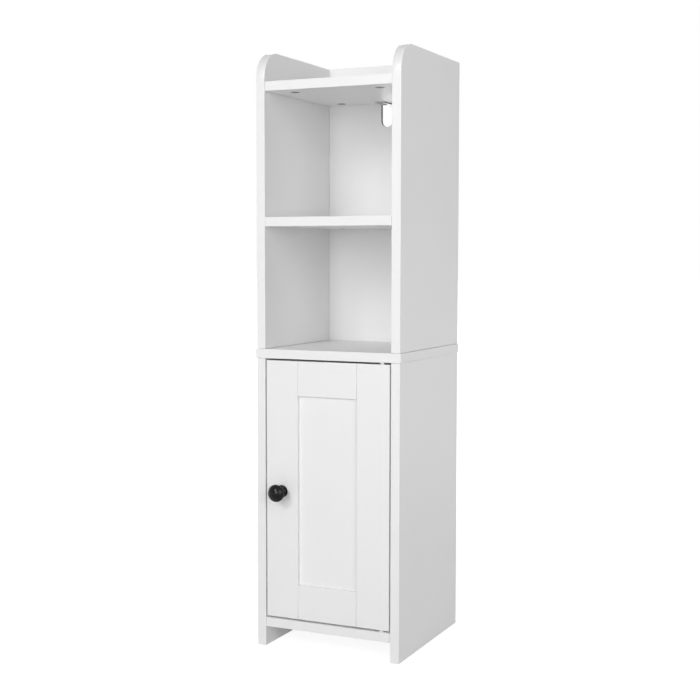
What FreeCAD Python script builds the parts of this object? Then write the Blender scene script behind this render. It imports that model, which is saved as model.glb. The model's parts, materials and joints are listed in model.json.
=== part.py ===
import FreeCAD, Part
import os
from types import SimpleNamespace
import Sketcher
from FreeCAD import Placement, Rotation, Vector

# A tall, narrow bathroom cabinet in two stacked units: open shelves above, and below them a cupboard
# behind a framed door that turns on two pivot pins.
# Millimetres. X runs to the right as seen from the front, the front faces -Y, and Z is up. The origin is
# on the floor, at the middle of the overall width and of the overall depth.

SIZES = {
    # boards and the carcass
    "board": 15,  # thickness of every melamine-faced board
    "carcass_width": 250,  # over the outer faces of the sides
    "carcass_depth": 255,  # of the sides, front edge to rear edge
    "lower_side_height": 471,
    "upper_side_height": 474,
    "side_corner_radius": 45,  # top front corner of the upper sides
    "mid_board_overhang": 1.5,  # past the sides and the front
    "foot_height": 32,  # floor to the underside of the bottom board
    "top_shelf_drop": 49,  # tops of the sides to the top of the top shelf
    "middle_compartment_height": 196,
    # back panels
    "back_thickness": 6,
    "back_inset": 12.5,  # rear face of a back panel to the rear edges of the sides
    "back_groove_depth": 5,
    "back_groove_play": 0.4,  # a groove's width over the panel's
    "back_edge_gap": 1,  # panel edge to the floor of its groove
    "shelf_back_gap": 0.2,  # rear edge of a shelf to the back panel
    "slot_width": 21,
    "slot_length": 39.5,  # underside of the top shelf to the slot's round end
    # inner shelf and its pins
    "inner_shelf_height": 200,  # above the bottom board
    "inner_shelf_setback": 30,  # behind the front edges of the sides
    "inner_shelf_side_gap": 0.75,
    "inner_shelf_back_gap": 1,
    "shelf_pin_radius": 2.5,
    "shelf_pin_depth": 9,
    "shelf_pin_reach": 8,
    "shelf_pin_collar_radius": 4,
    "shelf_pin_collar": 0.6,
    "shelf_pin_inset": 40,  # from the front and rear edges of the inner shelf
    "shelf_pin_pitch": 32,
    # cam fittings
    "cam_radius": 7.5,
    "cam_height": 12.3,
    "cam_reach": 36,  # a board's end to the centre of its cams
    "cam_front_inset": 37,  # front edges of the sides to the front cams
    "cam_rear_inset": 44,  # rear edges of the sides to the rear cams
    "cam_cross_reach": 4.2,
    "cam_cross_width": 1.6,
    "cam_cross_depth": 2.5,
    "cam_bolt_collar_radius": 3.75,
    "cam_bolt_collar": 1.2,
    "cam_bolt_shank_radius": 3,
    "cam_bolt_neck_radius": 1.8,
    "cam_bolt_neck": 5,
    "cam_bolt_head_radius": 3.1,
    "cam_bolt_head": 2.4,
    "cam_bolt_thread_radius": 2.8,
    "cam_bolt_thread": 10,
    # dowels
    "dowel_radius": 4,
    "dowel_length": 30,
    "dowel_side_depth": 9,  # of the dowel's length, what sits in the face of the other board
    "dowel_chamfer": 0.8,
    "dowel_offset": 32,  # cams to the dowels beside them
    "dowel_stagger": 20,  # dowels above the mid board to the ones below it
    # screws
    "fit_gap": 0.1,  # radial, around dowels, bolts, cams and screws in their holes
    "long_screw_radius": 3.5,
    "long_screw_length": 50,
    "long_screw_head_radius": 5,
    "long_screw_head": 3.5,
    "long_screw_offset": 17,  # cams to the long screws beside them
    "small_screw_radius": 1.75,
    "small_screw_head_radius": 3.5,
    "small_screw_head": 2,
    "drive_rim": 1.7,  # ends of a screw's cross recess to the rim of its head
    "drive_width": 1,
    "drive_depth": 1.2,
    "back_screw_length": 20,
    "back_screw_offset": 60,  # from the middle of the cabinet
    # wall bracket
    "bracket_width": 16,
    "bracket_thickness": 2,
    "bracket_bend_radius": 2,  # inside the bend
    "bracket_grip": 32.5,  # front end of the bracket to the back panel
    "bracket_drop": 36,
    "bracket_hole_radius": 2.75,
    "bracket_hole_drop": 21,  # underside of the top shelf to the wall screw's hole
    "bracket_screw_length": 12,
    "bracket_screw_inset": 8,
    "bracket_screw_spacing": 16,
    "wall_standoff": 25,  # rear edges of the sides to the wall face of the bracket
    # door
    "door_thickness": 15,
    "door_side_gap": 2.25,
    "door_top_gap": 3,
    "door_bottom_gap": 3,
    "door_frame_width": 56,
    "door_recess": 5,  # face of the frame to the face of the panel
    "door_panel_thickness": 6,
    "door_groove_depth": 8,
    "door_groove_play": 0.2,
    "door_panel_gap": 1,  # panel and tenon ends to the floor of the groove
    "door_edge_radius": 0.8,
    # pivots
    "pivot_inset": 15,  # hinge edge of the door to the pivot axis
    "pivot_radius": 2.5,
    "pivot_play": 0.05,
    "pivot_door_depth": 16,
    "pivot_journal": 8,
    "pivot_collar_radius": 4.25,
    "pivot_upper_collar": 1.7,
    "bush_radius": 4,
    "bush_depth": 9,
    "bush_flange_radius": 5,
    "bush_flange": 1,
    # knob
    "knob_drop": 2,  # middle of the door's height down to the knob's axis
    "knob_projection": 30,
    "knob_head_radius": 14,
    "knob_rim_radius": 5,
    "knob_dome_radius": 18,
    "knob_neck_radius": 5.5,
    "knob_neck_end": 10,  # from the door's face
    "knob_base_radius": 10,
    "knob_base_edge": 1.8,
    "knob_screw_radius": 2,
    "knob_screw_grip": 8,  # length of screw inside the knob
    "knob_screw_head_radius": 4.5,
    "knob_screw_head": 2.5,
    # magnetic catch
    "catch_drop": 76,  # underside of the mid board to the middle of the catch
    "catch_length": 26,
    "catch_reach": 16,  # out of the left side
    "catch_depth": 17,
    "catch_ear": 9,
    "catch_ear_thickness": 2.5,
    "catch_wall": 2,
    "catch_base_wall": 4,  # between the side and the magnet
    "magnet_depth": 11,
    "pole_thickness": 1.5,
    "pole_reach": 1,  # in front of the housing
    "catch_screw_length": 12,
    "strike_width": 12,
    "strike_length": 42,
    "strike_thickness": 1.5,
    "strike_inset": 1,  # knob edge of the door to the strike plate
    "strike_gap": 0.2,  # plate to the poles with the door shut
    "strike_screw_inset": 4.5,
    "strike_screw_length": 12,
}


class Size:
    """A length in millimetres together with the sheet expression that gives it."""

    def __init__(self, value, text):
        self.value = value
        self.text = text

    def __add__(self, other):
        return Size(self.value + number(other), f"({self.text} + {text(other)})")

    def __radd__(self, other):
        return Size(number(other) + self.value, f"({text(other)} + {self.text})")

    def __sub__(self, other):
        return Size(self.value - number(other), f"({self.text} - {text(other)})")

    def __rsub__(self, other):
        return Size(number(other) - self.value, f"({text(other)} - {self.text})")

    def __mul__(self, other):
        return Size(self.value * number(other), f"({self.text} * {text(other)})")

    def __rmul__(self, other):
        return Size(number(other) * self.value, f"({text(other)} * {self.text})")

    def __truediv__(self, other):
        return Size(self.value / number(other), f"({self.text} / {text(other)})")

    def __neg__(self):
        return Size(-self.value, f"(-1 * {self.text})")


def number(size):
    return size.value if isinstance(size, Size) else float(size)


def text(size):
    return size.text if isinstance(size, Size) else repr(float(size))


def root(size):
    return Size(size.value ** 0.5, f"sqrt({size.text})")


doc = FreeCAD.newDocument("BathroomCabinet")
sheet = doc.addObject("Spreadsheet::Sheet", "Sizes")
for row, (name, value) in enumerate(SIZES.items(), start=1):
    sheet.set(f"A{row}", name.replace("_", " "))
    sheet.set(f"B{row}", str(value))
    sheet.setAlias(f"B{row}", name)
doc.recompute()
s = SimpleNamespace(**{name: Size(float(sheet.get(name)), f"Sizes.{name}") for name in SIZES})


# Drawing and building

X, Y, Z = Vector(1, 0, 0), Vector(0, 1, 0), Vector(0, 0, 1)


def aim(own_z, own_x):
    """The turn that points a piece's own Z and X axes along the given directions."""
    return Rotation(own_x, own_z.cross(own_x), own_z, "ZXY")


FORWARD = aim(-Y, X)
UPWARD = aim(Z, X)
DOWNWARD = aim(-Z, X)
nodes = []


def node(label, thing):
    """Names a sub-part, so that it is written to a file of its own."""
    thing.Label = label
    nodes.append(thing)
    return thing


def place(thing, x=0, y=0, z=0, turn=None):
    if turn is not None:
        thing.Placement = Placement(Vector(), turn)
    for axis, size in zip("xyz", (x, y, z)):
        thing.setExpression(f".Placement.Base.{axis}", text(size))


def new_body(name):
    return doc.addObject("PartDesign::Body", name)


def sketch_on(body, plane, level=0):
    """A sketch on one of the body's origin planes, shifted along the plane's normal: +Z, +X or -Y."""
    drawing = body.newObject("Sketcher::SketchObject", "Sketch")
    origin_plane = next(f for f in body.Origin.OriginFeatures if f.Role == f"{plane}_Plane")
    drawing.AttachmentSupport = (origin_plane, "")
    drawing.MapMode = "FlatFace"
    drawing.setExpression(".AttachmentOffset.Base.z", text(level))
    return drawing


def fix(drawing, kind, size, *where):
    index = drawing.addConstraint(Sketcher.Constraint(kind, *where, number(size)))
    drawing.setExpression(f"Constraints[{index}]", text(size))


def fix_point(drawing, shape, end, x, y):
    fix(drawing, "DistanceX", x, -1, 1, shape, end)
    fix(drawing, "DistanceY", y, -1, 1, shape, end)


def draw_outline(drawing, corners, arcs=None):
    """A closed outline. arcs maps a corner's index to the centre and turn (1 is anticlockwise) of the arc
    that leaves it; the other sides are straight."""
    arcs = arcs or {}
    sides = []
    for i, start in enumerate(corners):
        p = Vector(number(start[0]), number(start[1]), 0)
        q = Vector(*(number(v) for v in corners[(i + 1) % len(corners)]), 0)
        if i not in arcs:
            sides.append((drawing.addGeometry(Part.LineSegment(p, q)), 1, 2))
            continue
        x, y, turn = arcs[i]
        centre = Vector(number(x), number(y), 0)
        circle = Part.Circle(centre, Z, (p - centre).Length)
        ends = (p, q) if turn > 0 else (q, p)
        arc = Part.ArcOfCircle(circle, circle.parameter(ends[0]), circle.parameter(ends[1]))
        sides.append((drawing.addGeometry(arc), *((1, 2) if turn > 0 else (2, 1))))
    for (shape, _, end), (following, begin, _) in zip(sides, sides[1:] + sides[:1]):
        drawing.addConstraint(Sketcher.Constraint("Coincident", shape, end, following, begin))
    for (shape, begin, _), (x, y) in zip(sides, corners):
        fix_point(drawing, shape, begin, x, y)
    for i, (x, y, _) in arcs.items():
        p, q = corners[i], corners[(i + 1) % len(corners)]
        level = abs(number(p[0]) - number(q[0])) >= abs(number(p[1]) - number(q[1]))
        fix(drawing, "DistanceY" if level else "DistanceX", y if level else x, -1, 1, sides[i][0], 3)
    return drawing


def draw_box(drawing, x0, y0, x1, y1):
    return draw_outline(drawing, [(x0, y0), (x1, y0), (x1, y1), (x0, y1)])


def draw_circles(drawing, centres, radius):
    for x, y in centres:
        circle = Part.Circle(Vector(number(x), number(y), 0), Z, number(radius))
        shape = drawing.addGeometry(circle)
        fix_point(drawing, shape, 3, x, y)
        fix(drawing, "Radius", radius, shape)
    return drawing


def pad(body, drawing, length, along=1):
    """Adds material along the sketch's normal, or against it where along is -1."""
    feature = body.newObject("PartDesign::Pad", "Pad")
    feature.Profile = drawing
    feature.setExpression("Length", text(length))
    feature.Reversed = along < 0
    return feature


def cut(body, drawing, depth, along):
    """Removes material along the sketch's normal, or against it where along is -1."""
    feature = body.newObject("PartDesign::Pocket", "Pocket")
    feature.Profile = drawing
    feature.setExpression("Length", text(depth))
    feature.Reversed = along > 0
    return feature


def drill(body, plane, level, centres, radius, depth, along):
    return cut(body, draw_circles(sketch_on(body, plane, level), centres, radius), depth, along)


def cut_cross(body, level, reach, width, depth, along):
    """A cross recess about the body's own Z axis."""
    arm = width / 2
    corners = [(arm, arm), (arm, reach), (-arm, reach), (-arm, arm), (-reach, arm), (-reach, -arm),
               (-arm, -arm), (-arm, -reach), (arm, -reach), (arm, -arm), (reach, -arm), (reach, arm)]
    return cut(body, draw_outline(sketch_on(body, "XY", level), corners), depth, along)


def turned_piece(name, profile, arcs=None):
    """A round piece about its own Z axis, from its half section (radius, height)."""
    body = new_body(name)
    feature = body.newObject("PartDesign::Revolution", "Revolution")
    feature.Profile = draw_outline(sketch_on(body, "XZ"), profile, arcs)
    feature.ReferenceAxis = (feature.Profile[0], ["V_Axis"])
    feature.Angle = 360
    return body


def round_front_edges(body, radius):
    """Rounds the edges around the face that lies at the body's own Y = 0."""
    doc.recompute()
    tip = body.Tip
    edges = [f"Edge{i}" for i, edge in enumerate(tip.Shape.Edges, start=1)
             if all(abs(vertex.Y) < 1e-6 for vertex in edge.Vertexes)]
    feature = body.newObject("PartDesign::Fillet", "Fillet")
    feature.Base = (tip, edges)
    feature.setExpression("Radius", text(radius))
    return feature


def group(label, pattern, places):
    """Copies of one piece as a single node. Each place is (x, y, z, turn)."""
    copies = []
    for x, y, z, turn in places:
        copy = doc.addObject("App::Link", f"{label}_copy")
        copy.LinkedObject = pattern
        place(copy, x, y, z, turn)
        copies.append(copy)
    compound = doc.addObject("Part::Compound", label)
    compound.Links = copies
    return node(label, compound)


# Places that several pieces share

front = (s.knob_projection - s.wall_standoff - s.carcass_depth) / 2
rear = front + s.carcass_depth
half_inside = s.carcass_width / 2 - s.board
side_middle = half_inside + s.board / 2
back_rear = s.carcass_depth - s.back_inset  # back panel, measured from the front edges of the sides
back_front = back_rear - s.back_thickness
shelf_depth = back_front - s.shelf_back_gap
mid_board_top = s.lower_side_height + s.board
cabinet_height = mid_board_top + s.upper_side_height
top_shelf_level = cabinet_height - s.top_shelf_drop - s.board
middle_shelf_level = mid_board_top + s.middle_compartment_height
cupboard_floor = s.foot_height + s.board

cam_rows = (s.cam_front_inset, s.carcass_depth - s.cam_rear_inset)
long_screw_rows = (cam_rows[0] + s.long_screw_offset, cam_rows[1] - s.long_screw_offset)
dowel_rows = (cam_rows[0] + s.dowel_offset, cam_rows[1] - s.dowel_offset)
staggered_rows = (dowel_rows[0] + s.dowel_stagger, dowel_rows[1] - s.dowel_stagger)
bracket_front = back_front - s.bracket_grip
bracket_screw_rows = [bracket_front + s.bracket_screw_inset + step * s.bracket_screw_spacing
                      for step in (0, 1)]
inner_shelf_level = cupboard_floor + s.inner_shelf_height
inner_shelf_depth = back_front - s.inner_shelf_back_gap - s.inner_shelf_setback
pin_rows = (
    s.inner_shelf_setback + s.shelf_pin_inset,
    s.inner_shelf_setback + inner_shelf_depth - s.shelf_pin_inset,
)
pin_level = inner_shelf_level - s.shelf_pin_radius

door_left = s.door_side_gap - half_inside
door_right = half_inside - s.door_side_gap
door_bottom = cupboard_floor + s.door_bottom_gap
door_height = s.lower_side_height - s.door_top_gap - door_bottom
door_rear = front + s.door_thickness
pivot_x = door_right - s.pivot_inset
pivot_y = front + s.door_thickness / 2
knob_x = door_left + s.door_frame_width / 2
knob_z = door_bottom + door_height / 2 - s.knob_drop
catch_z = s.lower_side_height - s.catch_drop
catch_front = door_rear + s.strike_thickness + s.strike_gap + s.pole_reach
catch_screw_y = catch_front + s.catch_depth / 2
catch_screw_levels = [catch_z + hand * (s.catch_length + s.catch_ear) / 2 for hand in (-1, 1)]
strike_x = door_left + s.strike_inset + s.strike_width / 2
strike_screw_levels = [catch_z + hand * (s.strike_length / 2 - s.strike_screw_inset)
                       for hand in (-1, 1)]

dowel_end_depth = s.dowel_length - s.dowel_side_depth
dowel_hole = s.dowel_radius + s.fit_gap
bolt_hole = s.cam_bolt_thread_radius + s.fit_gap
shank_hole = s.cam_bolt_collar_radius + s.fit_gap
cam_hole = s.cam_radius + s.fit_gap
small_hole = s.small_screw_radius + s.fit_gap
long_hole = s.long_screw_radius + s.fit_gap
bush_hole = s.bush_radius + s.fit_gap
pin_hole = s.shelf_pin_radius + s.fit_gap


# Boards

def side_board(label, hand, height, level, shelf_levels, corner=None):
    """A side whose inner face is at its own X = 0. hand is -1 for the left side and 1 for the right."""
    body = new_body(label)
    outline = [(0, 0), (s.carcass_depth, 0), (s.carcass_depth, height), (0, height)]
    arcs = None
    if corner:
        outline[3:] = [(corner, height), (0, height - corner)]
        arcs = {3: (corner, height - corner, 1)}
    pad(body, draw_outline(sketch_on(body, "YZ"), outline, arcs), s.board, hand)
    play = s.back_groove_play / 2
    groove = draw_box(sketch_on(body, "YZ"), back_front - play, 0, back_rear + play, height)
    cut(body, groove, s.back_groove_depth, hand)
    for shelf in shelf_levels:
        rise = shelf - level + s.board / 2
        drill(body, "YZ", 0, [(y, rise) for y in dowel_rows], dowel_hole,
              s.dowel_side_depth + s.fit_gap, hand)
        drill(body, "YZ", 0, [(y, rise) for y in cam_rows], bolt_hole, s.cam_bolt_thread + s.fit_gap, hand)
    place(body, hand * half_inside, front, level)
    return node(label, body)


def upper_side(label, hand):
    body = side_board(label, hand, s.upper_side_height, mid_board_top,
                      (middle_shelf_level, top_shelf_level), s.side_corner_radius)
    middle = hand * s.board / 2
    drill(body, "XY", 0, [(middle, y) for y in dowel_rows], dowel_hole, dowel_end_depth + s.fit_gap, 1)
    drill(body, "XY", 0, [(middle, y) for y in long_screw_rows], long_hole,
          s.long_screw_length - s.board + s.fit_gap, 1)


def lower_side(label, hand):
    height = s.lower_side_height
    body = side_board(label, hand, height, 0, [s.foot_height])
    middle = hand * s.board / 2
    drill(body, "XY", height, [(middle, y) for y in staggered_rows], dowel_hole,
          dowel_end_depth + s.fit_gap, -1)
    drill(body, "XY", height, [(middle, y) for y in cam_rows], shank_hole, s.cam_reach, -1)
    drill(body, "YZ", 0, [(y, height - s.cam_reach) for y in cam_rows], cam_hole,
          s.cam_height + s.fit_gap, hand)
    pin_levels = [pin_level + step * s.shelf_pin_pitch for step in (-1, 0, 1)]
    drill(body, "YZ", 0, [(y, z) for y in pin_rows for z in pin_levels], pin_hole,
          s.shelf_pin_depth + s.fit_gap, hand)
    return body


def lower_left_side():
    body = lower_side("lower_left_side", -1)
    drill(body, "YZ", 0, [(catch_screw_y - front, z) for z in catch_screw_levels], small_hole,
          s.catch_screw_length - s.catch_ear_thickness + s.fit_gap, -1)


def fixed_shelf(label, level):
    """A board between the sides, drilled for its cams, bolts, dowels and back screws."""
    body = new_body(label)
    pad(body, draw_box(sketch_on(body, "XY"), -half_inside, 0, half_inside, shelf_depth), s.board)
    middle = s.board / 2
    for hand in (-1, 1):
        end = hand * half_inside
        drill(body, "YZ", end, [(y, middle) for y in dowel_rows], dowel_hole,
              dowel_end_depth + s.fit_gap, -hand)
        drill(body, "YZ", end, [(y, middle) for y in cam_rows], shank_hole, s.cam_reach, -hand)
    cams = [(hand * (half_inside - s.cam_reach), y) for hand in (-1, 1) for y in cam_rows]
    drill(body, "XY", 0, cams, cam_hole, s.cam_height + s.fit_gap, 1)
    drill(body, "XZ", -shelf_depth, [(hand * s.back_screw_offset, middle) for hand in (-1, 1)], small_hole,
          s.back_screw_length - s.back_thickness - s.shelf_back_gap + s.fit_gap, 1)
    place(body, 0, front, level)
    return node(label, body)


def top_shelf():
    body = fixed_shelf("top_shelf", top_shelf_level)
    drill(body, "XY", 0, [(0, y) for y in bracket_screw_rows], small_hole,
          s.bracket_screw_length - s.bracket_thickness + s.fit_gap, 1)


def bottom_board():
    body = fixed_shelf("bottom_board", s.foot_height)
    drill(body, "XY", s.board, [(pivot_x, pivot_y - front)], bush_hole, s.bush_depth + s.fit_gap, -1)


def mid_board():
    body = new_body("mid_board")
    proud = s.mid_board_overhang
    half = s.carcass_width / 2 + proud
    pad(body, draw_box(sketch_on(body, "XY"), -half, -proud, half, s.carcass_depth), s.board)

    def over_sides(rows):
        return [(hand * side_middle, y) for hand in (-1, 1) for y in rows]

    dowel_depth = s.dowel_side_depth + s.fit_gap
    drill(body, "XY", s.board, over_sides(dowel_rows), dowel_hole, dowel_depth, -1)
    drill(body, "XY", 0, over_sides(staggered_rows), dowel_hole, dowel_depth, 1)
    drill(body, "XY", 0, over_sides(cam_rows), bolt_hole, s.cam_bolt_thread + s.fit_gap, 1)
    drill(body, "XY", 0, over_sides(long_screw_rows), long_hole, s.board, 1)
    drill(body, "XY", 0, over_sides(long_screw_rows), s.long_screw_head_radius + s.fit_gap,
          s.long_screw_head, 1)
    drill(body, "XY", 0, [(pivot_x, pivot_y - front)], bush_hole, s.bush_depth + s.fit_gap, 1)
    place(body, 0, front, s.lower_side_height)
    node("mid_board", body)


def inner_shelf():
    body = new_body("inner_shelf")
    half = half_inside - s.inner_shelf_side_gap
    pad(body, draw_box(sketch_on(body, "XY"), -half, 0, half, inner_shelf_depth), s.board)
    place(body, 0, front + s.inner_shelf_setback, inner_shelf_level)
    node("inner_shelf", body)


def back_panel(label, bottom, top, screw_levels):
    """A thin panel in the sides' grooves, with holes for its screws. Its own Z = 0 is its lower edge."""
    body = new_body(label)
    half = half_inside + s.back_groove_depth - s.back_edge_gap
    pad(body, draw_box(sketch_on(body, "XZ"), -half, 0, half, top - bottom), s.back_thickness, -1)
    holes = [(hand * s.back_screw_offset, z - bottom) for z in screw_levels for hand in (-1, 1)]
    drill(body, "XZ", 0, holes, small_hole, s.back_thickness, -1)
    place(body, 0, front + back_front, bottom)
    return node(label, body)


def upper_back_panel():
    body = back_panel("upper_back_panel", mid_board_top, cabinet_height, upper_back_screw_levels)
    half = s.slot_width / 2
    slot_top = top_shelf_level - mid_board_top
    slot_low = slot_top - s.slot_length + half
    slot = draw_outline(sketch_on(body, "XZ"),
                        [(-half, slot_top), (-half, slot_low), (half, slot_low), (half, slot_top)],
                        {1: (0, slot_low, 1)})
    cut(body, slot, s.back_thickness, -1)


# Fittings that hold the boards together

def cam():
    """A cam seen face down: its face is at Z = 0 and its mouth opens to +X."""
    body = new_body("cam")
    pad(body, draw_circles(sketch_on(body, "XY"), [(0, 0)], s.cam_radius), s.cam_height)
    cut_cross(body, 0, s.cam_cross_reach, s.cam_cross_width, s.cam_cross_depth, 1)
    half = s.cam_bolt_head_radius + s.fit_gap
    mouth = draw_box(sketch_on(body, "YZ", -half), -half, s.board / 2 - half, half, s.board / 2 + half)
    cut(body, mouth, half + s.cam_radius, 1)
    return body


def cam_bolt():
    """A bolt that stands on Z = 0 with its thread below, and ends in the head that a cam draws in."""
    head_top = s.cam_reach + s.cam_bolt_head / 2
    head_foot = s.cam_reach - s.cam_bolt_head / 2
    neck_foot = head_foot - s.cam_bolt_neck
    return turned_piece("cam_bolt", [
        (0, -s.cam_bolt_thread), (s.cam_bolt_thread_radius, -s.cam_bolt_thread),
        (s.cam_bolt_thread_radius, 0), (s.cam_bolt_collar_radius, 0),
        (s.cam_bolt_collar_radius, s.cam_bolt_collar), (s.cam_bolt_shank_radius, s.cam_bolt_collar),
        (s.cam_bolt_shank_radius, neck_foot), (s.cam_bolt_neck_radius, neck_foot),
        (s.cam_bolt_neck_radius, head_foot), (s.cam_bolt_head_radius, head_foot),
        (s.cam_bolt_head_radius, head_top), (0, head_top),
    ])


def dowel():
    """A dowel with its shorter stretch below Z = 0."""
    low, high = -s.dowel_side_depth, dowel_end_depth
    narrow = s.dowel_radius - s.dowel_chamfer
    return turned_piece("dowel", [
        (0, low), (narrow, low), (s.dowel_radius, low + s.dowel_chamfer),
        (s.dowel_radius, high - s.dowel_chamfer), (narrow, high), (0, high),
    ])


def long_screw():
    """A screw with the face of its head at Z = 0 and its shank above."""
    body = turned_piece("long_screw", [
        (0, 0), (s.long_screw_head_radius, 0), (s.long_screw_head_radius, s.long_screw_head),
        (s.long_screw_radius, s.long_screw_head), (s.long_screw_radius, s.long_screw_length),
        (0, s.long_screw_length),
    ])
    cut_cross(body, 0, s.long_screw_head_radius - s.drive_rim, s.drive_width, s.drive_depth, 1)
    return body


def pan_screw(name, length, radius, head_radius, head):
    """A screw whose head sits on Z = 0, with its shank above and a domed face below."""
    edge = head / 2
    dome = ((head - edge) * (head - edge) + head_radius * head_radius) / (2 * (head - edge))
    body = turned_piece(name, [
        (0, -head), (head_radius, -edge), (head_radius, 0), (radius, 0), (radius, length), (0, length),
    ], {0: (0, dome - head, 1)})
    cut_cross(body, -head, head_radius - s.drive_rim, s.drive_width, s.drive_depth, 1)
    return body


def small_screw(name, length):
    return pan_screw(name, length, s.small_screw_radius, s.small_screw_head_radius, s.small_screw_head)


def shelf_fittings(name, level):
    """Cams, bolts and dowels at the two ends of a fixed shelf."""
    cams, bolts, dowels = [], [], []
    for hand in (-1, 1):
        inward = aim(-hand * X, Y)
        for y in cam_rows:
            cams.append((hand * (half_inside - s.cam_reach), front + y, level, aim(Z, hand * X)))
            bolts.append((hand * half_inside, front + y, level + s.board / 2, inward))
        for y in dowel_rows:
            dowels.append((hand * half_inside, front + y, level + s.board / 2, inward))
    group(f"{name}_cams", cam_pattern, cams)
    group(f"{name}_cam_bolts", cam_bolt_pattern, bolts)
    group(f"{name}_dowels", dowel_pattern, dowels)


def side_fittings():
    """Cams, bolts, dowels and screws that tie the sides to the mid board."""
    cams, bolts, low_dowels, high_dowels, screws = [], [], [], [], []
    under = s.lower_side_height
    for hand in (-1, 1):
        x = hand * side_middle
        for y in cam_rows:
            cams.append((hand * half_inside, front + y, under - s.cam_reach, aim(hand * X, Z)))
            bolts.append((x, front + y, under, DOWNWARD))
        low_dowels += [(x, front + y, under, DOWNWARD) for y in staggered_rows]
        high_dowels += [(x, front + y, mid_board_top, UPWARD) for y in dowel_rows]
        screws += [(x, front + y, under, UPWARD) for y in long_screw_rows]
    group("lower_side_cams", cam_pattern, cams)
    group("lower_side_cam_bolts", cam_bolt_pattern, bolts)
    group("lower_side_dowels", dowel_pattern, low_dowels)
    group("upper_side_dowels", dowel_pattern, high_dowels)
    group("upper_side_screws", long_screw(), screws)


def back_screws(label, levels):
    places = [(hand * s.back_screw_offset, front + back_rear, z, FORWARD) for z in levels for hand in (-1, 1)]
    group(label, back_screw_pattern, places)


def shelf_pins():
    """Pins with one end in a side, whose tops carry the inner shelf."""
    r, collar = s.shelf_pin_radius, s.shelf_pin_collar_radius
    pattern = turned_piece("shelf_pin", [
        (0, -s.shelf_pin_depth), (r, -s.shelf_pin_depth), (r, 0), (collar, 0), (collar, s.shelf_pin_collar),
        (r, s.shelf_pin_collar), (r, s.shelf_pin_reach), (0, s.shelf_pin_reach),
    ])
    places = [(hand * half_inside, front + y, pin_level, aim(-hand * X, Y))
              for hand in (-1, 1) for y in pin_rows]
    group("shelf_pins", pattern, places)


# Wall bracket

def wall_bracket():
    """A bent steel strip. Its own Z = 0 is the underside of the top shelf."""
    body = new_body("wall_bracket")
    thick, bend = s.bracket_thickness, s.bracket_bend_radius + s.bracket_thickness
    wall = s.carcass_depth + s.wall_standoff
    centre = (wall - bend, -bend)
    strip = draw_outline(
        sketch_on(body, "YZ", -s.bracket_width / 2),
        [(bracket_front, 0), (wall - bend, 0), (wall, -bend), (wall, -s.bracket_drop),
         (wall - thick, -s.bracket_drop), (wall - thick, -bend), (wall - bend, -thick),
         (bracket_front, -thick)],
        {1: (*centre, -1), 5: (*centre, 1)})
    pad(body, strip, s.bracket_width)
    drill(body, "XY", 0, [(0, y) for y in bracket_screw_rows], small_hole, thick, -1)
    drill(body, "XZ", -wall, [(0, -s.bracket_hole_drop)], s.bracket_hole_radius, thick, 1)
    place(body, 0, front, top_shelf_level)
    node("wall_bracket", body)
    group("wall_bracket_screws", small_screw("bracket_screw", s.bracket_screw_length),
          [(0, front + y, top_shelf_level - thick, UPWARD) for y in bracket_screw_rows])


# Door

panel_front = s.door_recess
panel_rear = s.door_recess + s.door_panel_thickness
groove_front = panel_front - s.door_groove_play / 2
groove_rear = panel_rear + s.door_groove_play / 2
tongue = s.door_groove_depth - s.door_panel_gap
rail_half = (door_right - door_left) / 2 - s.door_frame_width


def stile(label, hand):
    """An upright of the door. Its outer edge is at its own X = 0 and its face at its own Y = 0."""
    body = new_body(label)
    inner = -hand * s.door_frame_width
    pad(body, draw_box(sketch_on(body, "XZ"), 0, 0, inner, door_height), s.door_thickness, -1)
    floor = -hand * (s.door_frame_width - s.door_groove_depth)
    cut(body, draw_box(sketch_on(body, "XY"), floor, groove_front, inner, groove_rear), door_height, 1)
    place(body, door_left if hand < 0 else door_right, front, door_bottom)
    return node(label, body)


def knob_stile():
    body = stile("door_knob_stile", -1)
    drill(body, "XZ", 0, [(knob_x - door_left, knob_z - door_bottom)], s.knob_screw_radius + s.fit_gap,
          s.door_thickness, -1)
    drill(body, "XZ", -s.door_thickness, [(strike_x - door_left, z - door_bottom) for z in strike_screw_levels],
          small_hole, s.strike_screw_length - s.strike_thickness + s.fit_gap, 1)
    round_front_edges(body, s.door_edge_radius)


def hinge_stile():
    body = stile("door_hinge_stile", 1)
    for level, along in ((0, 1), (door_height, -1)):
        drill(body, "XY", level, [(-s.pivot_inset, s.door_thickness / 2)], s.pivot_radius + s.pivot_play,
              s.pivot_door_depth + s.fit_gap, along)
    round_front_edges(body, s.door_edge_radius)


def rail(label, level, groove_level, along):
    """A cross piece of the door, with a tongue at each end and a groove along one edge."""
    body = new_body(label)
    pad(body, draw_box(sketch_on(body, "XZ"), -rail_half, 0, rail_half, s.door_frame_width),
        s.door_thickness, -1)
    for hand in (-1, 1):
        end = draw_box(sketch_on(body, "YZ", hand * rail_half), panel_front, 0, panel_rear, s.door_frame_width)
        pad(body, end, tongue, hand)
    reach = rail_half + s.door_groove_depth
    groove = draw_box(sketch_on(body, "XY", groove_level), -reach, groove_front, reach, groove_rear)
    cut(body, groove, s.door_groove_depth, along)
    round_front_edges(body, s.door_edge_radius)
    place(body, 0, front, level)
    node(label, body)


def door_panel():
    body = new_body("door_panel")
    half = rail_half + tongue
    height = door_height - 2 * s.door_frame_width + 2 * tongue
    pad(body, draw_box(sketch_on(body, "XZ"), -half, 0, half, height), s.door_panel_thickness, -1)
    place(body, 0, front + panel_front, door_bottom + s.door_frame_width - tongue)
    node("door_panel", body)


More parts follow.
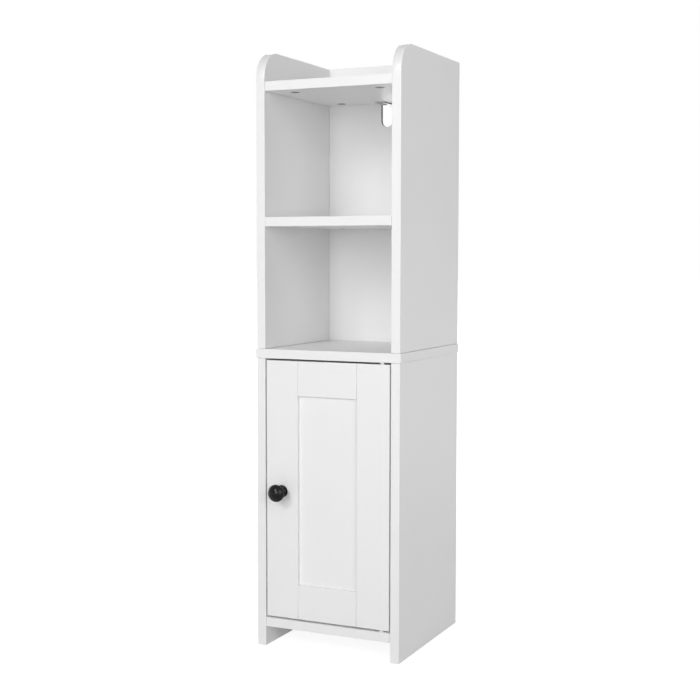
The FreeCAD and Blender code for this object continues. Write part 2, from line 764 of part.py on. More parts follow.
def knob():
    """A turned knob that stands on Z = 0, with a rounded rim that runs into a shallow dome."""
    hole = s.knob_screw_radius + s.fit_gap
    hole_top = s.knob_screw_grip + s.fit_gap
    cove_top = s.knob_base_edge + s.knob_base_radius - s.knob_neck_radius
    rim_x = s.knob_head_radius - s.knob_rim_radius
    dome_z = s.knob_projection - s.knob_dome_radius
    between = s.knob_dome_radius - s.knob_rim_radius
    rim_z = dome_z + root(between * between - rim_x * rim_x)
    share = s.knob_dome_radius / between
    body = turned_piece("knob", [
        (hole, 0), (s.knob_base_radius, 0), (s.knob_base_radius, s.knob_base_edge),
        (s.knob_neck_radius, cove_top), (s.knob_neck_radius, s.knob_neck_end),
        (rim_x, rim_z - s.knob_rim_radius), (rim_x * share, dome_z + (rim_z - dome_z) * share),
        (0, s.knob_projection), (0, hole_top), (hole, hole_top),
    ], {2: (s.knob_base_radius, cove_top, -1), 5: (rim_x, rim_z, 1), 6: (0, dome_z, 1)})
    place(body, knob_x, front, knob_z, FORWARD)
    node("knob", body)
    screw = pan_screw("knob_screw", s.door_thickness + s.knob_screw_grip, s.knob_screw_radius,
                      s.knob_screw_head_radius, s.knob_screw_head)
    place(screw, knob_x, door_rear, knob_z, FORWARD)
    node("knob_screw", screw)


def pivot_pin(label, gap, collar, level, turn):
    """A pin in the end of the hinge stile. The stile's end is at the pin's own Z = 0."""
    r, wide = s.pivot_radius, s.pivot_collar_radius
    tip = gap + s.pivot_journal
    pin = turned_piece(label, [
        (0, -s.pivot_door_depth), (r, -s.pivot_door_depth), (r, 0), (wide, 0), (wide, collar), (r, collar),
        (r, tip), (0, tip),
    ])
    place(pin, pivot_x, pivot_y, level, turn)
    node(label, pin)


def pivot_bush(label, level, turn):
    """A flanged bush in a board whose face is at the bush's own Z = 0."""
    bore = s.pivot_radius + s.pivot_play
    bush = turned_piece(label, [
        (bore, -s.bush_depth), (s.bush_radius, -s.bush_depth), (s.bush_radius, 0), (s.bush_flange_radius, 0),
        (s.bush_flange_radius, s.bush_flange), (bore, s.bush_flange),
    ])
    place(bush, pivot_x, pivot_y, level, turn)
    node(label, bush)


def pivots():
    pivot_pin("upper_pivot_pin", s.door_top_gap, s.pivot_upper_collar, door_bottom + door_height, UPWARD)
    pivot_pin("lower_pivot_pin", s.door_bottom_gap, s.door_bottom_gap - s.bush_flange, door_bottom, DOWNWARD)
    pivot_bush("upper_pivot_bush", s.lower_side_height, DOWNWARD)
    pivot_bush("lower_pivot_bush", cupboard_floor, UPWARD)


# Magnetic catch: the housing stands on the left side, and its poles meet a plate on the door

def catch():
    housing = new_body("catch_housing")
    half, ear_end = s.catch_length / 2, s.catch_length / 2 + s.catch_ear
    outline = [(0, -ear_end), (s.catch_ear_thickness, -ear_end), (s.catch_ear_thickness, -half),
               (s.catch_reach, -half), (s.catch_reach, half), (s.catch_ear_thickness, half),
               (s.catch_ear_thickness, ear_end), (0, ear_end)]
    pad(housing, draw_outline(sketch_on(housing, "XZ"), outline), s.catch_depth, -1)
    low, high, end = s.catch_base_wall, s.catch_reach - s.catch_wall, half - s.catch_wall
    cut(housing, draw_box(sketch_on(housing, "XZ"), low, -end, high, end), s.magnet_depth, -1)
    levels = [z - catch_z for z in catch_screw_levels]
    drill(housing, "YZ", 0, [(s.catch_depth / 2, z) for z in levels], small_hole, s.catch_ear_thickness, 1)

    magnet = new_body("catch_magnet")
    faces = low + s.pole_thickness, high - s.pole_thickness
    pad(magnet, draw_box(sketch_on(magnet, "XZ"), faces[0], -end, faces[1], end), s.magnet_depth, -1)

    pole = new_body("pole")
    pad(pole, draw_box(sketch_on(pole, "XZ"), 0, -end, s.pole_thickness, end),
        s.magnet_depth + s.pole_reach, -1)

    for label, body in (("catch_housing", housing), ("catch_magnet", magnet)):
        place(body, -half_inside, catch_front, catch_z)
        node(label, body)
    group("catch_pole_plates", pole,
          [(x - half_inside, catch_front - s.pole_reach, catch_z, UPWARD) for x in (low, faces[1])])
    group("catch_screws", small_screw("catch_screw", s.catch_screw_length),
          [(s.catch_ear_thickness - half_inside, catch_screw_y, z, aim(-X, Y)) for z in catch_screw_levels])


def strike_plate():
    body = new_body("strike_plate")
    half, end = s.strike_width / 2, s.strike_length / 2
    pad(body, draw_box(sketch_on(body, "XZ"), -half, -end, half, end), s.strike_thickness, -1)
    holes = [(0, z - catch_z) for z in strike_screw_levels]
    drill(body, "XZ", 0, holes, small_hole, s.strike_thickness, -1)
    place(body, strike_x, door_rear, catch_z)
    node("strike_plate", body)
    group("strike_plate_screws", small_screw("strike_screw", s.strike_screw_length),
          [(strike_x, door_rear + s.strike_thickness, z, FORWARD) for z in strike_screw_levels])


upper_back_screw_levels = [level + s.board / 2 for level in (middle_shelf_level, top_shelf_level)]
lower_back_screw_levels = [s.foot_height + s.board / 2]
cam_pattern, cam_bolt_pattern, dowel_pattern = cam(), cam_bolt(), dowel()
back_screw_pattern = small_screw("back_screw", s.back_screw_length)

upper_side("upper_left_side", -1)
upper_side("upper_right_side", 1)
top_shelf()
fixed_shelf("middle_shelf", middle_shelf_level)
upper_back_panel()
mid_board()
lower_left_side()
lower_side("lower_right_side", 1)
bottom_board()
back_panel("lower_back_panel", s.foot_height, s.lower_side_height, lower_back_screw_levels)
inner_shelf()
shelf_pins()

shelf_fittings("top_shelf", top_shelf_level)
shelf_fittings("middle_shelf", middle_shelf_level)
shelf_fittings("bottom_board", s.foot_height)
side_fittings()
back_screws("upper_back_screws", upper_back_screw_levels)
back_screws("lower_back_screws", lower_back_screw_levels)
wall_bracket()

knob_stile()
hinge_stile()
rail("door_top_rail", door_bottom + door_height - s.door_frame_width, 0, 1)
rail("door_bottom_rail", door_bottom, s.door_frame_width, -1)
door_panel()
knob()
pivots()
catch()
strike_plate()


# Checks, then one file for each sub-part

doc.recompute()
for thing in doc.Objects:
    if "Invalid" in thing.State or "Error" in thing.State:
        raise RuntimeError(f"{thing.Label} failed: {thing.State}")
    if thing.TypeId == "PartDesign::Pocket":
        removed = thing.BaseFeature.Shape.Volume - thing.Shape.Volume
        if removed < 0.01:
            raise RuntimeError(f"{thing.Label} of {thing.getParentGeoFeatureGroup().Label} cuts nothing")

os.makedirs("parts", exist_ok=True)
for thing in nodes:
    if thing.Shape.isNull() or not thing.Shape.isValid() or not thing.Shape.Solids:
        raise RuntimeError(f"{thing.Label} has no valid solid")
    thing.Shape.exportStep(f"parts/{thing.Label}.step")
print(len(nodes), "sub-parts written")
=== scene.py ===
import json
import math

import bmesh
import bpy
from mathutils import Matrix, Vector


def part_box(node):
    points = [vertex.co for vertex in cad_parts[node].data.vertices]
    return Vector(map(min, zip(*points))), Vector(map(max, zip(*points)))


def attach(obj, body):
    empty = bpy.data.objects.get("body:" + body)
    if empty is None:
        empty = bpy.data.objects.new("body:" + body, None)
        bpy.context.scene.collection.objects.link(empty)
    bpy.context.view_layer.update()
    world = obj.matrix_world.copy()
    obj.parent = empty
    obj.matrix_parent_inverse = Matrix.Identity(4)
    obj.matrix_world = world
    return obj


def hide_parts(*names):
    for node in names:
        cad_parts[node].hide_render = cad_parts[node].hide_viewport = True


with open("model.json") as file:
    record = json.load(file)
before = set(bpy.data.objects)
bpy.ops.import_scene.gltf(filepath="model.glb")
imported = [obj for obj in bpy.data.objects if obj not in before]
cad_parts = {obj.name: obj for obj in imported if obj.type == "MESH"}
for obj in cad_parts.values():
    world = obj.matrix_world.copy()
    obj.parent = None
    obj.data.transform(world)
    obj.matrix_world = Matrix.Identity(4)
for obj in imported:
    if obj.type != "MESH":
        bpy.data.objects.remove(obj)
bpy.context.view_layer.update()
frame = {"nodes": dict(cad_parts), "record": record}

# A tall white bathroom cabinet: melamine-faced boards, a foil-wrapped framed door with a black knob, and
# a thin hardboard back with a steel bracket. X is to the right and the front faces -Y.

MM = 0.001  # lengths are in metres
nodes = frame["nodes"]
slots = {part["node"]: part["material_slot"] for part in frame["record"]["subparts"]}
bodies = frame["record"]["behaviour"]["bodies"]
body_of = {name: body for body, members in bodies.items() for name in members}


# Materials

def linear(code):
    """The linear colour of an sRGB hex code."""
    channels = (int(code[i:i + 2], 16) / 255 for i in (1, 3, 5))
    return (*(c / 12.92 if c <= 0.04045 else ((c + 0.055) / 1.055) ** 2.4 for c in channels), 1)


def per(size):
    """A texture's scale for features of this many millimetres."""
    return 1 / (size * MM)


def add(tree, kind, inputs=None, **settings):
    """A shader node with its settings, and its inputs set to values or linked to other nodes' outputs."""
    made = tree.nodes.new(kind)
    for name, value in settings.items():
        setattr(made, name, value)
    for name, value in (inputs or {}).items():
        if isinstance(value, bpy.types.NodeSocket):
            tree.links.new(value, made.inputs[name])
        else:
            made.inputs[name].default_value = value
    return made


# A Mix node's sockets for colours, by number because its other sockets have the same names
FACTOR, A, B = 0, 6, 7
BLEND = 2

PORE_STRETCH = 0.04  # pores are 25 times as long as they are wide
ROLLED_STRETCH = 0.06  # marks that rollers leave are about 17 times as long as they are wide
WAVE_BAND = math.tau / 20  # how far apart a wave texture's bands lie at a scale of 1


def material(name, **values):
    """A new material with a Principled shader. Returns the material, its tree, the shader and the
    coordinates that patterns are laid out in."""
    made = bpy.data.materials.new(name)
    made.use_nodes = True
    tree = made.node_tree
    tree.nodes.clear()
    shader = add(tree, "ShaderNodeBsdfPrincipled", values)
    add(tree, "ShaderNodeOutputMaterial", {"Surface": shader.outputs["BSDF"]})
    place = add(tree, "ShaderNodeTexCoord").outputs["Object"]
    return made, tree, shader, place


def melamine(name, colour, shade, roughness, along):
    """Melamine paper pressed on a board with a textured plate: a satin white with a fine pebble and faint
    pores that run along the board, which break up its reflections."""
    made, tree, shader, place = material(name, Roughness=roughness)
    cloud = add(tree, "ShaderNodeTexNoise", {"Vector": place, "Scale": per(90), "Detail": 3})
    tint = add(tree, "ShaderNodeMix", {FACTOR: cloud.outputs["Fac"], A: linear(colour), B: linear(shade)},
               data_type="RGBA")
    stretch = [PORE_STRETCH if axis == along else 1 for axis in "XYZ"]
    laid = add(tree, "ShaderNodeMapping", {"Vector": place, "Scale": stretch}).outputs["Vector"]
    # the real marks are a few tenths of a millimetre across, and are drawn coarser so that they show
    pores = add(tree, "ShaderNodeTexNoise", {"Vector": laid, "Scale": per(1.4), "Detail": 4})
    pebble = add(tree, "ShaderNodeTexNoise", {"Vector": place, "Scale": per(0.9), "Detail": 2})
    relief = add(tree, "ShaderNodeMath", {0: pores.outputs["Fac"], 1: pebble.outputs["Fac"]},
                 operation="ADD")
    bump = add(tree, "ShaderNodeBump", {"Height": relief.outputs[0], "Strength": 0.5,
                                        "Distance": 0.02 * MM})
    tree.links.new(tint.outputs[BLEND], shader.inputs["Base Color"])
    tree.links.new(bump.outputs[0], shader.inputs["Normal"])
    return made


def particleboard():
    """Sawn particleboard, unfaced: pressed chips of pale and dark wood with small pits between them."""
    made, tree, shader, place = material("sawn_particleboard", Roughness=0.85)
    warp = add(tree, "ShaderNodeTexNoise", {"Vector": place, "Scale": per(2), "Detail": 2})
    bent = add(tree, "ShaderNodeMix", {FACTOR: 1.5 * MM, A: place, B: warp.outputs["Color"]},
               data_type="RGBA", blend_type="ADD")
    chips = add(tree, "ShaderNodeTexVoronoi", {"Vector": bent.outputs[BLEND], "Scale": per(1.8)})
    split = add(tree, "ShaderNodeSeparateColor", {"Color": chips.outputs["Color"]})
    wood = add(tree, "ShaderNodeMix", {FACTOR: split.outputs["Red"], A: linear("#C9AA7C"),
                                       B: linear("#9A7449")}, data_type="RGBA")
    dust = add(tree, "ShaderNodeTexNoise", {"Vector": place, "Scale": per(0.5), "Detail": 4})
    tint = add(tree, "ShaderNodeMix", {FACTOR: dust.outputs["Fac"], A: wood.outputs[BLEND],
                                       B: linear("#D8C29C")}, data_type="RGBA")
    bump = add(tree, "ShaderNodeBump", {"Height": chips.outputs["Distance"], "Strength": 0.6,
                                        "Distance": 0.3 * MM})
    tree.links.new(tint.outputs[BLEND], shader.inputs["Base Color"])
    tree.links.new(bump.outputs[0], shader.inputs["Normal"])
    return made


def hardboard(name, colour, shade, screen):
    """Pressed wood fibre: brown, matt and cloudy, with the press's wire screen printed on its rear face.
    screen holds the axes that the print's ridges follow each other along."""
    made, tree, shader, place = material(name, Roughness=0.8)
    fibres = add(tree, "ShaderNodeTexNoise", {"Vector": place, "Scale": per(3), "Detail": 6,
                                              "Distortion": 1.5})
    cloud = add(tree, "ShaderNodeTexNoise", {"Vector": place, "Scale": per(70), "Detail": 4})
    pale = add(tree, "ShaderNodeMix", {FACTOR: cloud.outputs["Fac"], A: linear(colour), B: linear(shade)},
               data_type="RGBA")
    deep = add(tree, "ShaderNodeMix", {FACTOR: cloud.outputs["Fac"], A: linear(shade), B: linear(colour)},
               data_type="RGBA")
    patches = add(tree, "ShaderNodeMapRange", {"Value": fibres.outputs["Fac"], "From Min": 0.35,
                                               "From Max": 0.65})
    tint = add(tree, "ShaderNodeMix", {FACTOR: patches.outputs["Result"], A: pale.outputs[BLEND],
                                       B: deep.outputs[BLEND]}, data_type="RGBA")
    height = fibres.outputs["Fac"]
    for direction in screen:
        # the real wires are about 1.5 mm apart, and are drawn coarser so that they show
        wires = add(tree, "ShaderNodeTexWave", {"Vector": place, "Scale": WAVE_BAND * per(6.28)},
                    bands_direction=direction)
        both = add(tree, "ShaderNodeMath", {0: height, 1: wires.outputs["Fac"]}, operation="ADD")
        height = both.outputs[0]
    bump = add(tree, "ShaderNodeBump", {"Height": height, "Strength": 0.5, "Distance": 0.1 * MM})
    tree.links.new(tint.outputs[BLEND], shader.inputs["Base Color"])
    tree.links.new(bump.outputs[0], shader.inputs["Normal"])
    return made


def foil():
    """PVC foil drawn over fibreboard: smoother than melamine, with a slight orange peel."""
    made, tree, shader, place = material("drawn_foil", Roughness=0.36)
    cloud = add(tree, "ShaderNodeTexNoise", {"Vector": place, "Scale": per(120), "Detail": 2})
    tint = add(tree, "ShaderNodeMix", {FACTOR: cloud.outputs["Fac"], A: linear("#F0F0F0"),
                                       B: linear("#EDEDED")}, data_type="RGBA")
    peel = add(tree, "ShaderNodeTexNoise", {"Vector": place, "Scale": per(2.2), "Detail": 2})
    bump = add(tree, "ShaderNodeBump", {"Height": peel.outputs["Fac"], "Strength": 0.4,
                                        "Distance": 0.02 * MM})
    tree.links.new(tint.outputs[BLEND], shader.inputs["Base Color"])
    tree.links.new(bump.outputs[0], shader.inputs["Normal"])
    return made


def metal(name, colour, shade, roughness, grain, depth, along=None):
    """A bare or plated metal. grain is the spacing of its surface marks and depth their height, in mm, both
    coarser than the real ones so that they show. Rolled metal has its marks stretched along one axis."""
    made, tree, shader, place = material(name, Metallic=1, Roughness=roughness)
    stretch = [ROLLED_STRETCH if axis == along else 1 for axis in "XYZ"]
    laid = add(tree, "ShaderNodeMapping", {"Vector": place, "Scale": stretch}).outputs["Vector"]
    marks = add(tree, "ShaderNodeTexNoise", {"Vector": laid, "Scale": per(grain), "Detail": 5})
    tint = add(tree, "ShaderNodeMix", {FACTOR: marks.outputs["Fac"], A: linear(colour), B: linear(shade)},
               data_type="RGBA")
    bump = add(tree, "ShaderNodeBump", {"Height": marks.outputs["Fac"], "Strength": 0.5,
                                        "Distance": depth * MM})
    tree.links.new(tint.outputs[BLEND], shader.inputs["Base Color"])
    tree.links.new(bump.outputs[0], shader.inputs["Normal"])
    return made


def lacquer():
    """Gloss black lacquer on cast metal: small bright highlights with a trace of orange peel."""
    made, tree, shader, place = material("gloss_black_lacquer", Roughness=0.12)
    shader.inputs["Specular IOR Level"].default_value = 0.2
    haze = add(tree, "ShaderNodeTexNoise", {"Vector": place, "Scale": per(6), "Detail": 3})
    tint = add(tree, "ShaderNodeMix", {FACTOR: haze.outputs["Fac"], A: linear("#030303"),
                                       B: linear("#080808")}, data_type="RGBA")
    peel = add(tree, "ShaderNodeTexNoise", {"Vector": place, "Scale": per(1.1), "Detail": 2})
    bump = add(tree, "ShaderNodeBump", {"Height": peel.outputs["Fac"], "Strength": 0.3,
                                        "Distance": 0.01 * MM})
    tree.links.new(tint.outputs[BLEND], shader.inputs["Base Color"])
    tree.links.new(bump.outputs[0], shader.inputs["Normal"])
    return made


def nylon():
    """Moulded nylon: off-white and waxy, with the spark-eroded texture of its mould, which is drawn coarser
    than the real one so that it shows."""
    made, tree, shader, place = material("moulded_nylon", Roughness=0.5)
    shader.inputs["Subsurface Weight"].default_value = 0.15
    shader.inputs["Subsurface Radius"].default_value = (1, 1, 0.9)
    shader.inputs["Subsurface Scale"].default_value = 1 * MM
    grit = add(tree, "ShaderNodeTexNoise", {"Vector": place, "Scale": per(0.5), "Detail": 3})
    tint = add(tree, "ShaderNodeMix", {FACTOR: grit.outputs["Fac"], A: linear("#EDEDE8"),
                                       B: linear("#E6E6E0")}, data_type="RGBA")
    bump = add(tree, "ShaderNodeBump", {"Height": grit.outputs["Fac"], "Strength": 0.4,
                                        "Distance": 0.03 * MM})
    tree.links.new(tint.outputs[BLEND], shader.inputs["Base Color"])
    tree.links.new(bump.outputs[0], shader.inputs["Normal"])
    return made


def ferrite():
    """Sintered ferrite: dark grey and matt, with a powdery grain, coarser than the real one so that it
    shows."""
    made, tree, shader, place = material("sintered_ferrite", Roughness=0.7)
    grains = add(tree, "ShaderNodeTexNoise", {"Vector": place, "Scale": per(0.4), "Detail": 4})
    tint = add(tree, "ShaderNodeMix", {FACTOR: grains.outputs["Fac"], A: linear("#2A2A2C"),
                                       B: linear("#3A3A3C")}, data_type="RGBA")
    tree.links.new(tint.outputs[BLEND], shader.inputs["Base Color"])
    return made


def beech():
    """Raw turned beech: pale and matt, with small darker flecks."""
    made, tree, shader, place = material("raw_beech", Roughness=0.7)
    flecks = add(tree, "ShaderNodeTexNoise", {"Vector": place, "Scale": per(1.5), "Detail": 5})
    tint = add(tree, "ShaderNodeMix", {FACTOR: flecks.outputs["Fac"], A: linear("#D9B98A"),
                                       B: linear("#B98F5E")}, data_type="RGBA")
    tree.links.new(tint.outputs[BLEND], shader.inputs["Base Color"])
    return made


upright_face = melamine("melamine_upright", "#F5F5F5", "#F2F2F2", roughness=0.4, along="Z")
level_face = melamine("melamine_level", "#F5F5F5", "#F2F2F2", roughness=0.4, along="X")
upright_band = melamine("edge_band_upright", "#F0F0F0", "#EDEDED", roughness=0.34, along="Z")
level_band = melamine("edge_band_level", "#F0F0F0", "#EDEDED", roughness=0.34, along="X")
back_face = melamine("laminated_hardboard", "#F5F5F5", "#F2F2F2", roughness=0.45, along="Z")
bare_chips = particleboard()
back_rear = hardboard("hardboard_rear", "#7B5A3E", "#60432C", screen="XZ")
# the sawn edges of the back: the dark brown of tempered hardboard, darkened further as painted shade for
# the shade inside the back's cut-out slot
back_edge_and_painted_shade = hardboard("hardboard_edge_and_painted_shade", "#3A281C", "#261A12", screen="")
door_foil = foil()
knob_black = lacquer()
fitting_finishes = {
    # die-cast zinc: dull grey, slightly grainy from the mould, and darkened further as painted shade for
    # the shade in the cams' recesses
    "zinc": metal("die_cast_zinc_and_painted_shade", "#7C7D7E", "#66676A", roughness=0.48, grain=0.8, depth=0.04),
    # bright zinc plating over steel: shiny and a little bluish
    "screw_steel": metal("zinc_plated_steel", "#C2C4C8", "#ACAEB2", roughness=0.3, grain=0.6,
                         depth=0.01),
    # hot-dip galvanised strip: satin, with faint marks of the rollers across the cabinet's depth
    "bracket_steel": metal("galvanised_strip", "#B4B7B9", "#9C9FA1", roughness=0.38, grain=1.2,
                           depth=0.02, along="Y"),
    # nickel plating over turned steel: shiny and a little warm
    "pin_steel": metal("nickel_plated_steel", "#C8C6C0", "#B4B2AC", roughness=0.25, grain=0.5,
                       depth=0.01),
    "white_nylon": nylon(),
    "ferrite": ferrite(),
    "dowel_wood": beech(),
}


# Boards: copies of the frame's boards with eased edges, raw particleboard where no facing is glued on,
# and the hairlines that show where boards butt together

EASE = 0.5 * MM  # radius that a trimmed edge band leaves
BACK_EASE = 0.1 * MM  # the same for the sawn edges of the thin back
EASE_STEPS = 3  # facets across an eased edge
HAIRLINE = 0.3 * MM  # how far a butting face is set back
END_ZONE = 1 * MM  # vertices nearer than this to a face that is set back move with it
FLAT = 0.01 * MM  # vertices and faces nearer than this to a plane lie on it
WELD = 0.001 * MM  # vertices nearer to each other than this become one
COPLANAR = math.radians(0.2)  # triangles that meet at less than this are one flat face
SHARP = math.radians(40)  # a board's own edges turn more than this, the facets of its curves less
SQUARE_ON = 0.99  # a face looks along an axis if its normal has more than this of it
ASLANT = 0.01  # a face leans towards an axis if its normal has more than this of it


def merged_copy(name):
    """A node's mesh with its loose triangles joined into whole faces."""
    bm = bmesh.new()
    bm.from_mesh(nodes[name].data)
    bmesh.ops.remove_doubles(bm, verts=bm.verts, dist=WELD)
    bmesh.ops.dissolve_limit(bm, angle_limit=COPLANAR, verts=bm.verts, edges=bm.edges)
    return bm


def stand_in(name, bm, materials):
    """The piece that a mesh makes, which takes a node's place on its body."""
    piece = bpy.data.objects.new(name + "_finished", bpy.data.meshes.new(name + "_finished"))
    bm.to_mesh(piece.data)
    bm.free()
    for made in materials:
        piece.data.materials.append(made)
    bpy.context.scene.collection.objects.link(piece)
    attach(piece, body_of[name])
    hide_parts(name)
    return piece


def slide(bm, axis, plane, by):
    """Moves the vertices close to a plane along its axis, 0 for X to 2 for Z."""
    near = [v for v in bm.verts if abs(v.co[axis] - plane) < END_ZONE]
    bmesh.ops.translate(bm, verts=near, vec=[by if i == axis else 0 for i in range(3)])


def outline_edges(bm, low, high):
    """The sharp edges that are joined to the board's outer corners, and not the rims of drilled holes."""
    sharp = {e for e in bm.edges if len(e.link_faces) == 2 and e.calc_face_angle(0) > SHARP}
    reached = [v for v in bm.verts
               if all(min(abs(v.co[i] - low[i]), abs(v.co[i] - high[i])) < FLAT for i in range(3))]
    found = set()
    while reached:
        for edge in reached.pop().link_edges:
            if edge in sharp and edge not in found:
                found.add(edge)
                reached.extend(edge.verts)
    return list(found)


def outer_side(face, low, high):
    """Which side of its box a face lies on, such as "-Y", or None inside a hole or groove."""
    centre = face.calc_center_median()
    for i, axis in enumerate("XYZ"):
        if face.normal[i] < -SQUARE_ON and abs(centre[i] - low[i]) < FLAT:
            return "-" + axis
        if face.normal[i] > SQUARE_ON and abs(centre[i] - high[i]) < FLAT:
            return "+" + axis
    return None


def is_round_corner(face):
    """Whether a face curves from the front to the top, as on the upper sides."""
    return min(-face.normal.y, face.normal.z) > ASLANT and abs(face.normal.x) < ASLANT


def eased_board(name, finishes, trim, default, ease=EASE, butts=()):
    """A board in place of its node. finishes maps a side such as "-Y" to its material, trim covers round
    corners and eased edges, and default covers the rest. butts are the sides that meet other boards."""
    materials = list(dict.fromkeys([default, trim, *finishes.values()]))
    bm = merged_copy(name)
    low, high = (list(corner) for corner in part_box(name))
    for side in butts:
        axis = "XYZ".index(side[1])
        corner, inwards = (high, -1) if side[0] == "+" else (low, 1)
        slide(bm, axis, corner[axis], inwards * HAIRLINE)
        corner[axis] += inwards * HAIRLINE
    for face in bm.faces:
        face.smooth = is_round_corner(face)
        found = trim if face.smooth else finishes.get(outer_side(face, low, high), default)
        face.material_index = materials.index(found)
    eased = bmesh.ops.bevel(bm, geom=outline_edges(bm, low, high), offset=ease, offset_type="OFFSET",
                            segments=EASE_STEPS, profile=0.5, affect="EDGES", material=-1,
                            clamp_overlap=True)
    for face in eased["faces"]:
        face.material_index = materials.index(trim)
    return stand_in(name, bm, materials)


for name in ("upper_left_side", "upper_right_side", "lower_left_side", "lower_right_side"):
    eased_board(name, {"-X": upright_face, "+X": upright_face, "-Y": upright_band, "+Z": level_band},
                upright_band, bare_chips, butts=["-Z"] if name.startswith("upper") else ["+Z"])
for name in ("top_shelf", "middle_shelf", "bottom_board"):
    eased_board(name, {"-Z": level_face, "+Z": level_face, "-Y": level_band}, level_band, bare_chips,
                butts=["-X", "+X"])
eased_board("mid_board", {"-Z": level_face, "+Z": level_face, "-Y": level_band, "-X": level_band,
                          "+X": level_band}, level_band, bare_chips)
eased_board("inner_shelf", {"-Z": level_face, "+Z": level_face}, level_band, level_band)
for name in ("upper_back_panel", "lower_back_panel"):
    eased_board(name, {"-Y": back_face, "+Y": back_rear}, back_edge_and_painted_shade, back_edge_and_painted_shade, ease=BACK_EASE,
                butts=["-Y"])


# Door: foil-wrapped members, with hairlines between them

PANEL_PLAY = 0.4 * MM  # between the panel's face and the front lip of its groove

left_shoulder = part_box("door_knob_stile")[1][0]
right_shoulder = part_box("door_hinge_stile")[0][0]
for name in ("door_top_rail", "door_bottom_rail"):
    member = merged_copy(name)
    slide(member, 0, left_shoulder, HAIRLINE)
    slide(member, 0, right_shoulder, -HAIRLINE)
    stand_in(name, member, [door_foil])
member = merged_copy("door_panel")
slide(member, 1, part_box("door_panel")[0][1], PANEL_PLAY)
stand_in("door_panel", member, [door_foil])
for name in ("door_knob_stile", "door_hinge_stile"):
    nodes[name].data.materials.clear()
    nodes[name].data.materials.append(door_foil)


# Knob

RIM_ROUND = 5 * MM  # radius of the head's round rim
DOME_ROUND = 18 * MM  # radius of the shallow dome on the head
BASE_RADIUS = 10 * MM
BASE_EDGE = 1.8 * MM  # how far the base's rim stands out from the door
BASE_CHAMFER = 0.4 * MM
NECK_RADIUS = 5.5 * MM
NECK_END = 10 * MM  # how far from the door the neck meets the head
BORE_RADIUS = 2.1 * MM  # of the blind hole for the knob's screw
BORE_DEPTH = 8.1 * MM
COVE_STEPS, RIM_STEPS, DOME_STEPS = 10, 16, 12  # facets along each curve of the outline
TURN_STEPS = 96  # facets round the axis
CREASE = math.radians(35)  # edges that turn more than this stay crisp


def arc(across, along, radius, start, stop, steps):
    """Points of an arc about (across, along), from one angle to another in radians."""
    turn = (stop - start) / steps
    return [(across + radius * math.cos(start + turn * i), along + radius * math.sin(start + turn * i))
            for i in range(steps + 1)]


def turned_knob():
    """The cast knob: a flared base, a narrow neck and a head whose round rim runs into a shallow dome."""
    low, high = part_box("knob")
    head_radius = (high[0] - low[0]) / 2
    reach = high[1] - low[1]
    cove = BASE_RADIUS - NECK_RADIUS
    rim_across = head_radius - RIM_ROUND
    dome_along = reach - DOME_ROUND
    rim_along = dome_along + math.sqrt((DOME_ROUND - RIM_ROUND) ** 2 - rim_across ** 2)
    meet = math.atan2(rim_along - dome_along, rim_across)
    profile = [(0, BORE_DEPTH), (BORE_RADIUS, BORE_DEPTH), (BORE_RADIUS, 0)]
    profile += [(BASE_RADIUS - BASE_CHAMFER, 0), (BASE_RADIUS, BASE_CHAMFER)]
    profile += arc(BASE_RADIUS, BASE_EDGE + cove, cove, -math.pi / 2, -math.pi, COVE_STEPS)
    profile += [(NECK_RADIUS, NECK_END)]
    profile += arc(rim_across, rim_along, RIM_ROUND, -math.pi / 2, meet, RIM_STEPS)
    profile += arc(0, dome_along, DOME_ROUND, meet, math.pi / 2, DOME_STEPS)[1:]
    bm = bmesh.new()
    middle = Vector(((low[0] + high[0]) / 2, high[1], (low[2] + high[2]) / 2))
    points = [bm.verts.new(middle + Vector((across, -along, 0))) for across, along in profile]
    lines = [bm.edges.new(pair) for pair in zip(points, points[1:])]
    bmesh.ops.spin(bm, geom=points + lines, cent=middle, axis=(0, 1, 0), dvec=(0, 0, 0), angle=math.tau,
                   steps=TURN_STEPS, use_merge=True)
    bmesh.ops.remove_doubles(bm, verts=bm.verts, dist=WELD)
    bmesh.ops.recalc_face_normals(bm, faces=bm.faces)
    for face in bm.faces:
        face.smooth = True
    piece = stand_in("knob", bm, [knob_black])
    piece.data.set_sharp_from_angle(angle=CREASE)


turned_knob()


# Fittings

for name, slot in slots.items():
    if slot in fitting_finishes:
        nodes[name].data.materials.clear()
        nodes[name].data.materials.append(fitting_finishes[slot])


# Stage, light and camera

LAMP_TARGET = Vector((0, 0, 0.5))  # close to the middle of the cabinet
FLOOR_REACH = 30  # metres from the cabinet to the floor's edges
PAPER_GLOW = 1.6  # white laid over the floor, so that open floor is white and the shadow still shows
WHITE = linear("#FFFFFF")


def softbox(name, place, side, watts):
    """A square lamp turned towards the middle of the cabinet."""
    lamp = bpy.data.objects.new(name, bpy.data.lights.new(name, "AREA"))
    lamp.data.shape = "SQUARE"
    lamp.data.size = side
    lamp.data.energy = watts
    lamp.location = place
    lamp.rotation_euler = (LAMP_TARGET - lamp.location).to_track_quat("-Z", "Y").to_euler()
    bpy.context.scene.collection.objects.link(lamp)


def seen(tree):
    """1 for rays that show a thing directly, in a reflection or through glass, and 0 for all others."""
    path = add(tree, "ShaderNodeLightPath")
    total = path.outputs["Is Camera Ray"]
    for name in ("Is Glossy Ray", "Is Transmission Ray"):
        either = add(tree, "ShaderNodeMath", {0: total, 1: path.outputs[name]}, operation="MAXIMUM")
        total = either.outputs["Value"]
    return total


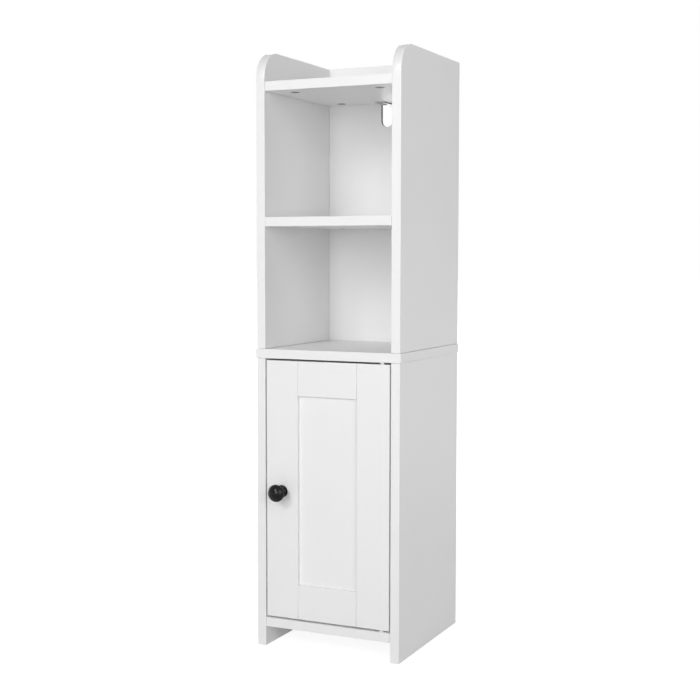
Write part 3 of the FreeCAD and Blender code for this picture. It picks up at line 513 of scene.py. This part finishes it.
def white_floor():
    """A pale floor that shows as white paper, still takes the cabinet's shadow, and fades into the white
    backdrop farther off."""
    bm = bmesh.new()
    bmesh.ops.create_grid(bm, x_segments=1, y_segments=1, size=FLOOR_REACH)
    floor = bpy.data.objects.new("floor", bpy.data.meshes.new("floor"))
    bm.to_mesh(floor.data)
    bm.free()
    made = bpy.data.materials.new("floor_paper")
    made.use_nodes = True
    tree = made.node_tree
    tree.nodes.clear()
    lit = add(tree, "ShaderNodeBsdfDiffuse", {"Color": linear("#D0D0D0")})
    glow = add(tree, "ShaderNodeEmission", {"Color": WHITE, "Strength": PAPER_GLOW})
    place = add(tree, "ShaderNodeTexCoord").outputs["Object"]
    away = add(tree, "ShaderNodeVectorMath", {0: place}, operation="LENGTH").outputs["Value"]
    fade = add(tree, "ShaderNodeMapRange", {"Value": away, "From Min": 0.6, "From Max": 2.5,
                                            "To Min": 0.55, "To Max": 1}, interpolation_type="SMOOTHSTEP")
    shown = add(tree, "ShaderNodeMath", {0: seen(tree), 1: fade.outputs["Result"]}, operation="MULTIPLY")
    both = add(tree, "ShaderNodeMixShader", {0: shown.outputs[0], 1: lit.outputs[0], 2: glow.outputs[0]})
    add(tree, "ShaderNodeOutputMaterial", {"Surface": both.outputs[0]})
    floor.data.materials.append(made)
    bpy.context.scene.collection.objects.link(floor)


def white_world():
    """Even light from all round, shown as a white background."""
    world = bpy.data.worlds.new("studio")
    bpy.context.scene.world = world
    world.use_nodes = True
    tree = world.node_tree
    tree.nodes.clear()
    around = add(tree, "ShaderNodeBackground", {"Color": WHITE, "Strength": 0.08})
    backdrop = add(tree, "ShaderNodeBackground", {"Color": WHITE, "Strength": 1})
    both = add(tree, "ShaderNodeMixShader", {0: seen(tree), 1: around.outputs[0], 2: backdrop.outputs[0]})
    add(tree, "ShaderNodeOutputWorld", {"Surface": both.outputs[0]})


def photo_camera():
    """The photograph's view, found by fitting the cabinet's straight edges."""
    stand = Matrix.Translation((0.88586, -1.9438, 0.63481))
    left, down, roll = 0.4351, 0.0726, 0.0014  # radians from level and square on to the front
    data = bpy.data.cameras.new("camera")
    data.sensor_width = 36
    data.lens = 66.32
    camera = bpy.data.objects.new("camera", data)
    turn = Matrix.Rotation(left, 4, "Z") @ Matrix.Rotation(math.pi / 2 - down, 4, "X")
    camera.matrix_world = stand @ turn @ Matrix.Rotation(roll, 4, "Z")
    bpy.context.scene.collection.objects.link(camera)
    bpy.context.scene.camera = camera


white_floor()
white_world()
softbox("key", (-0.7, -3.4, 2.2), side=1.1, watts=38)
softbox("crown", (0.35, -2.0, 2.9), side=0.25, watts=4)
softbox("front", (0.1, -4.0, 1.0), side=1.3, watts=39)
softbox("near", (2.4, -2.4, 1.3), side=2.2, watts=42)
softbox("flank", (3.2, 0.9, 1.1), side=2.0, watts=18)
softbox("far_flank", (-3.2, 0.9, 1.1), side=2.0, watts=23)
softbox("rear", (-0.8, 3.0, 1.4), side=2.0, watts=45)
photo_camera()
bpy.context.scene.view_settings.view_transform = "Standard"
